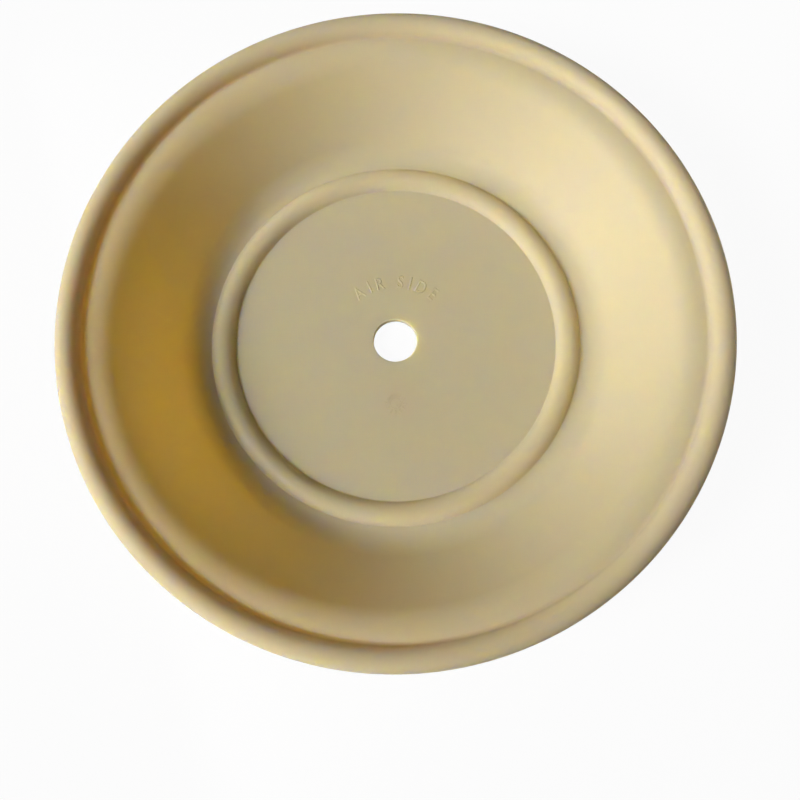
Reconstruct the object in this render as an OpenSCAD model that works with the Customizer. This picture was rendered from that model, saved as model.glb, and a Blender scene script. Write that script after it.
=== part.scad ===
// Diaphragm of an air-operated double-diaphragm pump, moulded in one piece of thermoplastic rubber.
// It lies on its hub with the air side up: the axis is Z and the hub's fluid face is on z = 0.
// The whole part is one section turned about Z, from the stud hole out to the clamping bead.

/* [Hub] */
// Thickness of the flat hub that the two pistons clamp
hub_t = 5; // [3.5:0.1:7]
// Diameter of the stud hole through the hub
bore_d = 25; // [12:0.5:40]
// Rounding of the stud hole's two edges
bore_edge_r = 0.4; // [0.2:0.1:1]

/* [Ring bead] */
// Width of the ring bead round the piston seat, between its feet
ring_w = 13.6; // [10:0.2:16]
// Height of the ring bead above the hub's air face
ring_h = 4.3; // [3:0.1:5]
// Fillet at both feet of the ring bead
ring_foot_r = 0.8; // [0.3:0.1:1.5]

/* [Web] */
// Thickness of the flexing web and of the rim land
web_t = 5; // [3.5:0.1:6]
// Radial width of the web, from where it leaves the hub's level to where it meets the rim land's
web_w = 54.6; // [48:0.2:66]
// Depth of the dish, from the rim land's air face down to the hub's air face
dish_depth = 43.6; // [38:0.2:50]
// Radius of the hollow bend beside the hub, on the air face
lower_bend_r = 19; // [14:0.5:22]
// Radius of the rolled bend beside the rim, on the air face
upper_bend_r = 20; // [14:0.5:23]
// Level strip of hub between the ring bead's foot and the lower bend
hub_margin = 0.8; // [0.4:0.1:3]
// Level land between the upper bend and the clamping bead's foot
rim_land = 1; // [0.4:0.1:3]

/* [Clamping bead] */
// Outside diameter over the clamping bead
outer_d = 354; // [310:1:400]
// Diameter of the clamping bead's round section
bead_d = 13.6; // [12:0.2:16]
// Height of the clamping bead's crest above the rim land
bead_rise = 6.2; // [5:0.1:7]
// Fillet where the web runs into the clamping bead, on both faces
bead_foot_r = 0.8; // [0.3:0.1:1.5]

/* [Hidden] */

// Segments of the preview round the axis
$fn = 180;
// Largest gap between a curve of the section and its chords
curve_gap = 0.02;

// In the section, x is the radius from the axis and y is the height
bore_r = bore_d / 2;
land_face = hub_t + dish_depth;
land_back = land_face - web_t;

// The clamping bead is a whole circle that the rim land runs into
bead_r = bead_d / 2;
bead_c = [outer_d / 2 - bead_r, land_face + bead_rise - bead_r];
bead_foot_air = foot(bead_c, bead_r, land_face, bead_foot_r, -1, 1);
bead_foot_fluid = foot(bead_c, bead_r, land_back, bead_foot_r, -1, -1);

// The web hangs inside the rim land, and its straight flank is the inner common tangent of its two bends
upper_c = [bead_foot_air.x - rim_land, land_face - upper_bend_r];
lower_c = [upper_c.x - web_w, hub_t + lower_bend_r];
flank_a = bearing(lower_c, upper_c) + asin((lower_bend_r + upper_bend_r) / norm(upper_c - lower_c));

// On the fluid face the lower bend also takes up the step from the hub's thickness to the web's
lower_back_c = polar(lower_c, (web_t - hub_t) / sin(flank_a), flank_a);

// The ring bead is a circle's cap that stands on the hub's air face, just inside the web
ring_arc_r = (pow(ring_w / 2, 2) + pow(ring_h, 2)) / (2 * ring_h);
ring_y = hub_t + ring_h - ring_arc_r;
ring_reach = foot_reach(ring_y, ring_arc_r, hub_t + ring_foot_r, ring_foot_r);
ring_c = [lower_c.x - hub_margin - ring_reach, ring_y];
ring_foot_in = foot(ring_c, ring_arc_r, hub_t, ring_foot_r, -1, 1);
ring_foot_out = foot(ring_c, ring_arc_r, hub_t, ring_foot_r, 1, 1);

function polar(c, r, a) = c + r * [cos(a), sin(a)];
function bearing(from, to) = atan2(to.y - from.y, to.x - from.x);

// How far beside a circle's centre a fillet's centre lies, for a circle at height cy and a fillet at height fy
function foot_reach(cy, r, fy, f) = sqrt(pow(r + f, 2) - pow(fy - cy, 2));

// Centre of a fillet of radius f between the level y and a circle, left or right of it, above or below y
function foot(c, r, y, f, side, up) =
    let (fy = y + up * f)
    [c.x + side * foot_reach(c.y, r, fy, f), fy];

// Points of an arc; skip = 1 leaves out the first one, where the arc runs on from the one before it
function arc(c, r, from, to, skip = 0) =
    let (n = ceil(abs(to - from) / (2 * acos(1 - curve_gap / r))))
    [for (i = [skip:n]) polar(c, r, from + (to - from) * i / n)];

// The fluid face, from the stud hole outwards
function fluid_face() = concat(
    arc([bore_r + bore_edge_r, bore_edge_r], bore_edge_r, 180, 270),
    arc(lower_back_c, lower_bend_r + web_t, -90, flank_a - 90),
    arc(upper_c, upper_bend_r - web_t, flank_a + 90, 90),
    arc(bead_foot_fluid, bead_foot_r, 90, bearing(bead_foot_fluid, bead_c))
);

// The clamping bead, round its outside from the fluid face to the air face
function clamping_bead() = concat(
    arc(bead_c, bead_r, bearing(bead_c, bead_foot_fluid), bearing(bead_c, bead_foot_air), 1),
    arc(bead_foot_air, bead_foot_r, bearing(bead_foot_air, bead_c), -90, 1)
);

// The air face, from the rim land inwards to the stud hole
function air_face() = concat(
    arc(upper_c, upper_bend_r, 90, flank_a + 90),
    arc(lower_c, lower_bend_r, flank_a - 90, -90),
    arc(ring_foot_out, ring_foot_r, -90, bearing(ring_foot_out, ring_c)),
    arc(ring_c, ring_arc_r, bearing(ring_c, ring_foot_out), bearing(ring_c, ring_foot_in), 1),
    arc(ring_foot_in, ring_foot_r, bearing(ring_foot_in, ring_c), -90, 1),
    arc([bore_r + bore_edge_r, hub_t - bore_edge_r], bore_edge_r, 90, 180)
);

module diaphragm() {
    color([0.82, 0.77, 0.62])
        rotate_extrude()
            polygon(concat(fluid_face(), clamping_bead(), air_face()));
}

diaphragm();
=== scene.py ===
import math

import bpy
from mathutils import Matrix, Vector


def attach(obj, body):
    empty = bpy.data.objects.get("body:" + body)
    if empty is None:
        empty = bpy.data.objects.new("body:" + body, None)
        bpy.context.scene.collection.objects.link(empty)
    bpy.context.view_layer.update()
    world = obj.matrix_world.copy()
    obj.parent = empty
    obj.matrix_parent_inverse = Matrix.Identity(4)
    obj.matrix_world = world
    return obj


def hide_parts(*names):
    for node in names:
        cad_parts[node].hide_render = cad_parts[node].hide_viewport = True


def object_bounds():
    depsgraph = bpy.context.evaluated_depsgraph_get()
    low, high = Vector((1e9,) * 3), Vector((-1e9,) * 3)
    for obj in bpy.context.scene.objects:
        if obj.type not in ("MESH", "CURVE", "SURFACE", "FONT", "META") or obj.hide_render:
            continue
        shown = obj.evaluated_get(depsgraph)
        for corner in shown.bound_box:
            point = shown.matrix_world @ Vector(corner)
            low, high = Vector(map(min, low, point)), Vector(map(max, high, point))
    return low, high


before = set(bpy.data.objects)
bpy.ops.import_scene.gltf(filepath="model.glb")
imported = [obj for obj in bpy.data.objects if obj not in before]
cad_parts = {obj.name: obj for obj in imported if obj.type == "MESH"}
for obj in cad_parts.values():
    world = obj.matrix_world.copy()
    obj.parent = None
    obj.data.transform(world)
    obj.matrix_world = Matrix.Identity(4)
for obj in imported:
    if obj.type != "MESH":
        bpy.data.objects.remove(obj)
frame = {"nodes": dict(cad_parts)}
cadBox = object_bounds()
print("frame loaded:", ", ".join(frame["nodes"]))

mm = 0.001


def pick(*pieces):
    bpy.ops.object.select_all(action="DESELECT")
    for piece in pieces:
        piece.select_set(True)
    bpy.context.view_layer.objects.active = pieces[0]


def editAll():
    bpy.ops.object.mode_set(mode="EDIT")
    bpy.ops.mesh.select_all(action="SELECT")


# the section is drawn in the XZ plane by one vertex: straight on, or round a centre
def startPen(point):
    bpy.ops.object.select_all(action="DESELECT")
    bpy.ops.mesh.primitive_plane_add(size=mm, location=(point.x, 0, point.y))
    piece = bpy.context.object
    bpy.ops.object.transform_apply(location=True, rotation=False, scale=False)
    editAll()
    bpy.ops.mesh.merge(type="CENTER")
    return piece


def drawLine(pen, end):
    bpy.ops.mesh.extrude_region_move(TRANSFORM_OT_translate={"value": (end.x - pen.x, 0, end.y - pen.y)})
    return end


# a long straight stretch gets a point just inside each end, so its shading stays flat between them
def drawFlat(pen, end, margin):
    step = (end - pen).normalized() * margin
    for point in (pen + step, end - step, end):
        pen = drawLine(pen, point)
    return pen


def drawArc(pen, centre, turn, chord):
    away = pen - centre
    steps = max(4, math.ceil(abs(turn) * away.length / chord))
    bpy.ops.mesh.spin(steps=steps, angle=turn, center=(centre.x, 0, centre.y), axis=(0, 1, 0))
    return centre + Matrix.Rotation(turn, 2) @ away


def bearing(fromPoint, toPoint):
    return math.atan2(toPoint.y - fromPoint.y, toPoint.x - fromPoint.x)


def polar(centre, radius, angle):
    return centre + radius * Vector((math.cos(angle), math.sin(angle)))


# centre of a fillet between a level and a circle
# side is left or right of the circle, up is above or below the level
def footCentre(centre, radius, level, foot, side, up):
    height = level + up * foot
    return Vector((centre.x + side * math.sqrt((radius + foot) ** 2 - (height - centre.y) ** 2), height))


# millimetres, as the solid's, but the bead's foot is softer and takes the level land's place
diaphragmSizes = {
    "hubThick": 5, "boreWide": 25, "boreEdge": 0.4,
    "ringWide": 13.6, "ringHigh": 4.3, "ringFoot": 0.8,
    "webThick": 5, "webWide": 54.6, "dishDeep": 43.6,
    "lowerBend": 19, "upperBend": 20, "hubMargin": 0.8, "rimLand": 0.06,
    "outerWide": 354, "beadThick": 13.6, "beadRise": 6.2, "beadFoot": 2,
    "seamHigh": 0.1, "seamWide": 0.5,      # the mould's parting line along the rim
    "chord": 0.7, "margin": 0.5,           # edges along the curves, and at the ends of the straights
    "weld": 0.004,                         # points closer than this become one
}
roundSteps = 288             # edges round the axis


def makeDiaphragm():
    size = {name: value * mm for name, value in diaphragmSizes.items()}
    chord = size["chord"]
    margin = size["margin"]
    quarter = math.pi / 2
    hubFace = size["hubThick"]
    landFace = hubFace + size["dishDeep"]
    landBack = landFace - size["webThick"]
    boreRadius = size["boreWide"] / 2
    boreEdge = size["boreEdge"]

    beadRadius = size["beadThick"] / 2
    beadFoot = size["beadFoot"]
    bead = Vector((size["outerWide"] / 2 - beadRadius, landFace + size["beadRise"] - beadRadius))
    airFoot = footCentre(bead, beadRadius, landFace, beadFoot, -1, 1)
    fluidFoot = footCentre(bead, beadRadius, landBack, beadFoot, -1, -1)

    upper = Vector((airFoot.x - size["rimLand"], landFace - size["upperBend"]))
    lower = Vector((upper.x - size["webWide"], hubFace + size["lowerBend"]))
    bends = size["lowerBend"] + size["upperBend"]
    flank = bearing(lower, upper) + math.asin(bends / (upper - lower).length)
    lowerBack = polar(lower, (size["webThick"] - hubFace) / math.sin(flank), flank)

    ringFoot = size["ringFoot"]
    ringRadius = (size["ringWide"] ** 2 / 4 + size["ringHigh"] ** 2) / (2 * size["ringHigh"])
    ring = Vector((0, hubFace + size["ringHigh"] - ringRadius))
    ring.x = lower.x - size["hubMargin"] - footCentre(ring, ringRadius, hubFace, ringFoot, 1, 1).x
    ringOut = footCentre(ring, ringRadius, hubFace, ringFoot, 1, 1)
    ringIn = footCentre(ring, ringRadius, hubFace, ringFoot, -1, 1)

    # fluid face, from the stud hole outwards
    start = Vector((boreRadius, boreEdge))
    piece = startPen(start)
    pen = drawArc(start, Vector((boreRadius + boreEdge, boreEdge)), quarter, chord)
    pen = drawFlat(pen, Vector((lowerBack.x, 0)), margin)
    pen = drawArc(pen, lowerBack, flank, chord)
    pen = drawFlat(pen, polar(upper, size["upperBend"] - size["webThick"], flank + quarter), margin)
    pen = drawArc(pen, upper, -flank, chord)
    pen = drawLine(pen, Vector((fluidFoot.x, landBack)))
    pen = drawArc(pen, fluidFoot, bearing(fluidFoot, bead) - quarter, chord)

    # clamping bead, with the parting line at its widest
    seamHalf = size["seamWide"] / 2 / beadRadius
    pen = drawArc(pen, bead, -seamHalf - bearing(bead, fluidFoot), chord)
    pen = drawLine(pen, bead + Vector((beadRadius + size["seamHigh"], 0)))
    pen = drawLine(pen, polar(bead, beadRadius, seamHalf))
    pen = drawArc(pen, bead, bearing(bead, airFoot) - seamHalf, chord)
    pen = drawArc(pen, airFoot, -quarter - bearing(airFoot, bead), chord)

    # air face, back in to the stud hole
    pen = drawLine(pen, Vector((upper.x, landFace)))
    pen = drawArc(pen, upper, flank, chord)
    pen = drawFlat(pen, polar(lower, size["lowerBend"], flank - quarter), margin)
    pen = drawArc(pen, lower, -flank, chord)
    pen = drawLine(pen, Vector((ringOut.x, hubFace)))
    pen = drawArc(pen, ringOut, bearing(ringOut, ring) + quarter, chord)
    pen = drawArc(pen, ring, bearing(ring, ringIn) - bearing(ring, ringOut), chord)
    pen = drawArc(pen, ringIn, -quarter - bearing(ringIn, ring), chord)
    pen = drawFlat(pen, Vector((boreRadius + boreEdge, hubFace)), margin)
    pen = drawArc(pen, Vector((boreRadius + boreEdge, hubFace - boreEdge)), quarter, chord)
    drawLine(pen, start)

    # the section is closed and turned about the axis
    bpy.ops.mesh.select_all(action="SELECT")
    bpy.ops.mesh.remove_doubles(threshold=size["weld"])
    bpy.ops.mesh.select_all(action="SELECT")
    bpy.ops.mesh.spin(steps=roundSteps, angle=2 * math.pi, center=(0, 0, 0), axis=(0, 0, 1))
    bpy.ops.mesh.select_all(action="SELECT")
    bpy.ops.mesh.remove_doubles(threshold=size["weld"])
    bpy.ops.mesh.normals_make_consistent(inside=False)
    bpy.ops.object.mode_set(mode="OBJECT")
    piece.name = "moulded_diaphragm"
    print("diaphragm turned:", len(piece.data.polygons), "faces")
    return piece


# millimetres, degrees from +X, and shares; every mark stands on the hub's air face
markSizes = {
    "hubFace": 5, "root": 0.5,             # the root is how far a mark reaches down into the hub
    "sideWords": ("AIR", "SIDE"), "wordsMiddle": 89.9, "wordsRadius": 35.4,
    "letterHigh": 0.45, "letterTall": 7.4, "letterNarrow": 0.78, "letterBold": 0.14, "letterSoft": 0.3,
    "letterGap": 3.55, "wordGap": 7.9,
    "dialPlace": (0.2, -37.05), "innerRing": 3.0, "ringThick": 0.35,
    "numberHigh": 0.4, "numberTall": 2.1, "numberNarrow": 0.8, "numberBold": 0.08, "numberSoft": 0.12,
    "numberRadius": 5.0, "numbers": 12,
    "arrowLong": 5.2, "arrowWide": 0.9, "arrowHead": 1.6, "arrowBarb": 0.6, "arrowHigh": 0.6,
    "arrowTurn": -151, "weld": 0.002,
}
capitalShare = 0.682         # height of the built-in font's capitals, as a share of its size


# one raised character with soft shoulders, its middle at the origin
def raisedLetter(character, kind):
    high = markSizes[kind + "High"] * mm
    soft = markSizes[kind + "Soft"] * mm
    bpy.ops.object.select_all(action="DESELECT")
    bpy.ops.object.text_add()
    shape = bpy.context.object.data
    shape.body = character
    shape.size = markSizes[kind + "Tall"] * mm / capitalShare
    shape.extrude = (high + markSizes["root"] * mm) / 2 - soft
    shape.bevel_depth = soft
    shape.bevel_resolution = 2
    shape.offset = markSizes[kind + "Bold"] * mm - soft
    shape.resolution_u = 4
    bpy.ops.object.convert(target="MESH")
    letter = bpy.context.object
    letter.scale.x = markSizes[kind + "Narrow"]
    bpy.ops.object.transform_apply(location=False, rotation=False, scale=True)
    corners = [Vector(corner) for corner in letter.bound_box]
    middle = (corners[0] + corners[6]) / 2
    letter.location = (-middle.x, -middle.y, high - corners[6].z)
    bpy.ops.object.transform_apply(location=True, rotation=False, scale=False)
    return letter


def standOnHub(piece, centre, radius, angle):
    across = centre.x + radius * math.cos(angle)
    along = centre.y + radius * math.sin(angle)
    piece.location = (across, along, markSizes["hubFace"] * mm)
    piece.rotation_euler.z = angle - math.pi / 2
    pick(piece)
    bpy.ops.object.transform_apply(location=True, rotation=True, scale=False)


def makeSideWords():
    radius = markSizes["wordsRadius"] * mm
    letterGap = markSizes["letterGap"] * mm
    wordGap = markSizes["wordGap"] * mm
    letters = []
    places = []
    along = 0
    for word in markSizes["sideWords"]:
        for character in word:
            letter = raisedLetter(character, "letter")
            letters.append(letter)
            places.append(along + letter.dimensions.x / 2)
            along += letter.dimensions.x + letterGap
        along += wordGap - letterGap
    length = along - wordGap
    middle = math.radians(markSizes["wordsMiddle"])
    for letter, place in zip(letters, places):
        standOnHub(letter, Vector((0, 0)), radius, middle - (place - length / 2) / radius)
    print("side words drawn:", len(letters), "letters")
    return letters


def makeDateDial():
    centre = Vector(markSizes["dialPlace"]) * mm
    step = 360 / markSizes["numbers"]
    pieces = []
    for month in range(1, markSizes["numbers"] + 1):
        number = raisedLetter(str(month), "number")
        standOnHub(number, centre, markSizes["numberRadius"] * mm, math.radians(90 - step * month))
        pieces.append(number)

    # the inner disc's edge, a fine half-round line
    bpy.ops.mesh.primitive_torus_add(
        major_radius=markSizes["innerRing"] * mm, minor_radius=markSizes["ringThick"] * mm / 2,
        major_segments=48, minor_segments=12)
    ring = bpy.context.object
    standOnHub(ring, centre, 0, math.pi / 2)
    pieces.append(ring)

    # the arrow is drawn upright, thickened and laid flat
    half = markSizes["arrowLong"] * mm / 2
    wide = markSizes["arrowWide"] * mm / 2
    head = markSizes["arrowHead"] * mm
    barb = head * markSizes["arrowBarb"]
    outline = [(-wide, -half), (wide, -half), (wide, half - head), (barb, half - head), (0, half),
               (-barb, half - head), (-wide, half - head)]
    pen = Vector(outline[0])
    arrow = startPen(pen)
    for point in outline[1:]:
        pen = drawLine(pen, Vector(point))
    drawLine(pen, Vector(outline[0]))
    bpy.ops.mesh.select_all(action="SELECT")
    bpy.ops.mesh.remove_doubles(threshold=markSizes["weld"] * mm)
    bpy.ops.mesh.select_all(action="SELECT")
    bpy.ops.mesh.edge_face_add()
    root = markSizes["root"] * mm
    rise = root + markSizes["arrowHigh"] * mm
    bpy.ops.transform.translate(value=(0, root, 0))
    bpy.ops.mesh.extrude_region_move(TRANSFORM_OT_translate={"value": (0, -rise, 0)})
    bpy.ops.mesh.select_all(action="SELECT")
    bpy.ops.mesh.normals_make_consistent(inside=False)
    bpy.ops.object.mode_set(mode="OBJECT")
    arrow.rotation_euler.x = -math.pi / 2
    bpy.ops.object.transform_apply(location=False, rotation=True, scale=False)
    standOnHub(arrow, centre, 0, math.radians(markSizes["arrowTurn"]) + math.pi / 2)
    pieces.append(arrow)
    print("date dial drawn:", markSizes["numbers"], "numbers")
    return pieces


# raised marks become one skin with the hub
def mouldOn(piece, marks):
    pick(*marks)
    bpy.ops.object.join()
    joined = bpy.context.object
    editAll()
    bpy.ops.mesh.remove_doubles(threshold=markSizes["weld"] * mm)
    bpy.ops.mesh.normals_make_consistent(inside=False)
    bpy.ops.object.mode_set(mode="OBJECT")
    pick(piece)
    union = piece.modifiers.new("marks", "BOOLEAN")
    union.operation = "UNION"
    union.solver = "MANIFOLD"
    union.object = joined
    bpy.ops.object.modifier_apply(modifier=union.name)
    bpy.data.objects.remove(joined)
    print("marks moulded on:", len(piece.data.polygons), "faces")


# a socket that takes part in sums; maths() adds a Math node and node() any other
class Wire:
    def __init__(self, tree, socket=None):
        self.tree = tree
        self.socket = socket

    def node(self, kind, settings=None, links=None, out=0):
        made = self.tree.nodes.new(kind)
        for name, value in (settings or {}).items():
            setattr(made, name, value)
        for name, value in (links or {}).items():
            if isinstance(value, Wire):
                self.tree.links.new(value.socket, made.inputs[name])
            else:
                made.inputs[name].default_value = value
        return Wire(self.tree, made.outputs[out]) if made.outputs else None

    def maths(self, operation, first, second):
        return self.node("ShaderNodeMath", {"operation": operation}, {0: first, 1: second})

    def __add__(self, other):
        return self.maths("ADD", self, other)

    def __radd__(self, other):
        return self.maths("ADD", other, self)

    def __sub__(self, other):
        return self.maths("SUBTRACT", self, other)

    def __rsub__(self, other):
        return self.maths("SUBTRACT", other, self)

    def __mul__(self, other):
        return self.maths("MULTIPLY", self, other)

    def __rmul__(self, other):
        return self.maths("MULTIPLY", other, self)


def newTree(name):
    material = bpy.data.materials.new(name)
    material.use_nodes = True
    material.node_tree.nodes.clear()
    return material, Wire(material.node_tree)


rubberLook = {
    "cream": (0.8, 0.675, 0.43, 1), "tan": (0.77, 0.635, 0.39, 1), "tanShare": 0.4, "cloudScale": 14,
    "bleed": (1.0, 0.83, 0.21), "bleedDepth": 12.5 * mm,
    "translucent": 0.88, "rough": 0.55, "roughShift": 0.12, "shine": 0.2,
    "grainScale": 1400, "grainStrength": 0.15, "grainDepth": 0.05 * mm,
}


def rubberMaterial():
    look = rubberLook
    material, base = newTree("cream_moulded_rubber")
    place = base.node("ShaderNodeTexCoord", out="Object")
    cloud = base.node("ShaderNodeTexNoise", {}, {
        "Vector": place, "Scale": look["cloudScale"], "Detail": 3, "Roughness": 0.5,
    })
    grain = base.node("ShaderNodeTexNoise", {}, {
        "Vector": place, "Scale": look["grainScale"], "Detail": 3, "Roughness": 0.6,
    })
    colour = base.node("ShaderNodeMix", {"data_type": "RGBA"}, {
        0: cloud * look["tanShare"], 6: look["cream"], 7: look["tan"],      # factor and the two colours
    }, out=2)
    bump = base.node("ShaderNodeBump", {}, {
        "Strength": look["grainStrength"], "Distance": look["grainDepth"], "Height": grain,
    })
    shader = base.node("ShaderNodeBsdfPrincipled", {}, {
        "Base Color": colour,
        "Roughness": look["rough"] + (grain - 0.5) * look["roughShift"],
        "Normal": bump,
        "Subsurface Weight": look["translucent"],
        "Subsurface Radius": look["bleed"],
        "Subsurface Scale": look["bleedDepth"],
        "Specular IOR Level": look["shine"],
    })
    base.node("ShaderNodeOutputMaterial", {}, {"Surface": shader})
    return material


smoothAngle = math.radians(35)
diaphragm = makeDiaphragm()
mouldOn(diaphragm, makeSideWords() + makeDateDial())
pick(diaphragm)
bpy.ops.object.shade_smooth_by_angle(angle=smoothAngle)
diaphragm.data.materials.clear()
diaphragm.data.materials.append(rubberMaterial())
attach(diaphragm, "root")
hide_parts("diaphragm")
print("rubber put on:", diaphragm.name)

# metres, degrees and watts; a lamp stands around and up from its aim, and the strip lies low under the rim
stageLook = {
    "floorWide": 8, "floorGap": 0.3 * mm, "floorWhite": (0.8, 0.8, 0.8, 1), "glow": 0.95,
    "fill": 0.01,
    "keyAim": (0, 60 * mm, 30 * mm), "keyAround": 201, "keyUp": 36, "keyAway": 2.2,
    "keyWide": 1.0, "keyTall": 1.19, "keySpread": 28.5, "keyPower": 3.85,
    "lowAim": (0, 0, -10 * mm), "lowAround": 198, "lowUp": 11, "lowAway": 0.2038,
    "lowWide": 0.5, "lowTall": 0.014, "lowSpread": 70, "lowPower": 0.07,
    "cardAim": (0, 0, 30 * mm), "cardAround": 15, "cardUp": 0, "cardAway": 0.6,
    "cardWide": 0.8, "cardTall": 0.05, "cardSpread": 180, "cardPower": 0.45,
}


# 1 where the camera looks at the surroundings, straight or in a reflection
def seenDirectly(base):
    camera = base.node("ShaderNodeLightPath", out="Is Camera Ray")
    glossy = base.node("ShaderNodeLightPath", out="Is Glossy Ray")
    through = base.node("ShaderNodeLightPath", out="Is Transmission Ray")
    return base.maths("MAXIMUM", camera, base.maths("MAXIMUM", glossy, through))


def makeFloor():
    bpy.ops.object.select_all(action="DESELECT")
    level = cadBox[0][2] - stageLook["floorGap"]        # a little lower, so no two faces lie on each other
    bpy.ops.mesh.primitive_plane_add(size=stageLook["floorWide"], location=(0, 0, level))
    floor = bpy.context.object
    floor.name = "floor"
    bpy.ops.object.transform_apply(location=True, rotation=False, scale=False)
    material, base = newTree("white_floor")
    lit = base.node("ShaderNodeBsdfDiffuse", {}, {"Color": stageLook["floorWhite"]})
    glow = base.node("ShaderNodeEmission", {}, {"Strength": 1.0})
    share = seenDirectly(base) * stageLook["glow"]      # the rest takes the part's shadow
    mixed = base.node("ShaderNodeMixShader", {}, {0: share, 1: lit, 2: glow})
    base.node("ShaderNodeOutputMaterial", {}, {"Surface": mixed})
    floor.data.materials.append(material)


def softLamp(kind):
    look = stageLook
    around = math.radians(look[kind + "Around"])
    up = math.radians(look[kind + "Up"])
    toward = Vector((math.cos(up) * math.cos(around), math.cos(up) * math.sin(around), math.sin(up)))
    place = Vector(look[kind + "Aim"]) + toward * look[kind + "Away"]
    bpy.ops.object.light_add(type="AREA", location=place)
    lamp = bpy.context.object
    lamp.name = kind + "_light"
    lamp.rotation_euler = toward.to_track_quat("Z", "Y").to_euler()
    lamp.data.shape = "RECTANGLE"
    lamp.data.size = look[kind + "Wide"]
    lamp.data.size_y = look[kind + "Tall"]
    lamp.data.spread = math.radians(look[kind + "Spread"])
    lamp.data.energy = look[kind + "Power"]
    lamp.visible_camera = False


def makeLight():
    softLamp("key")
    softLamp("low")          # shines in under the rim and makes the thin wall glow
    softLamp("card")         # a weak return on the far side of the rim
    world = bpy.data.worlds.new("studio")
    bpy.context.scene.world = world
    world.use_nodes = True
    world.node_tree.nodes.clear()
    base = Wire(world.node_tree)
    strength = stageLook["fill"] + seenDirectly(base) * (1 - stageLook["fill"])
    glow = base.node("ShaderNodeBackground", {}, {"Color": (1, 1, 1, 1), "Strength": strength})
    base.node("ShaderNodeOutputWorld", {}, {"Surface": glow})


cameraView = {               # millimetres; place and aim are from the rim's centre
    "rimHigh": 48.0, "place": (10.9, -115.31, 393.31), "aim": (3.57, -42.84, 0),
    "lens": 35.164, "sensor": 36, "near": 10,
}


def makeCamera():
    rim = Vector((0, 0, cameraView["rimHigh"])) * mm
    place = rim + Vector(cameraView["place"]) * mm
    ahead = (rim + Vector(cameraView["aim"]) * mm - place).normalized()
    right = ahead.cross(Vector((0, 1, 0))).normalized()
    bpy.ops.object.camera_add(location=place)
    camera = bpy.context.object
    turn = Matrix((right, right.cross(ahead), -ahead)).transposed()
    camera.rotation_euler = turn.to_euler()
    camera.data.lens = cameraView["lens"]
    camera.data.sensor_width = cameraView["sensor"]
    camera.data.clip_start = cameraView["near"] * mm
    bpy.context.scene.camera = camera


makeFloor()
makeLight()
makeCamera()
bpy.context.scene.view_settings.view_transform = "Standard"
print("stage, light and camera set")
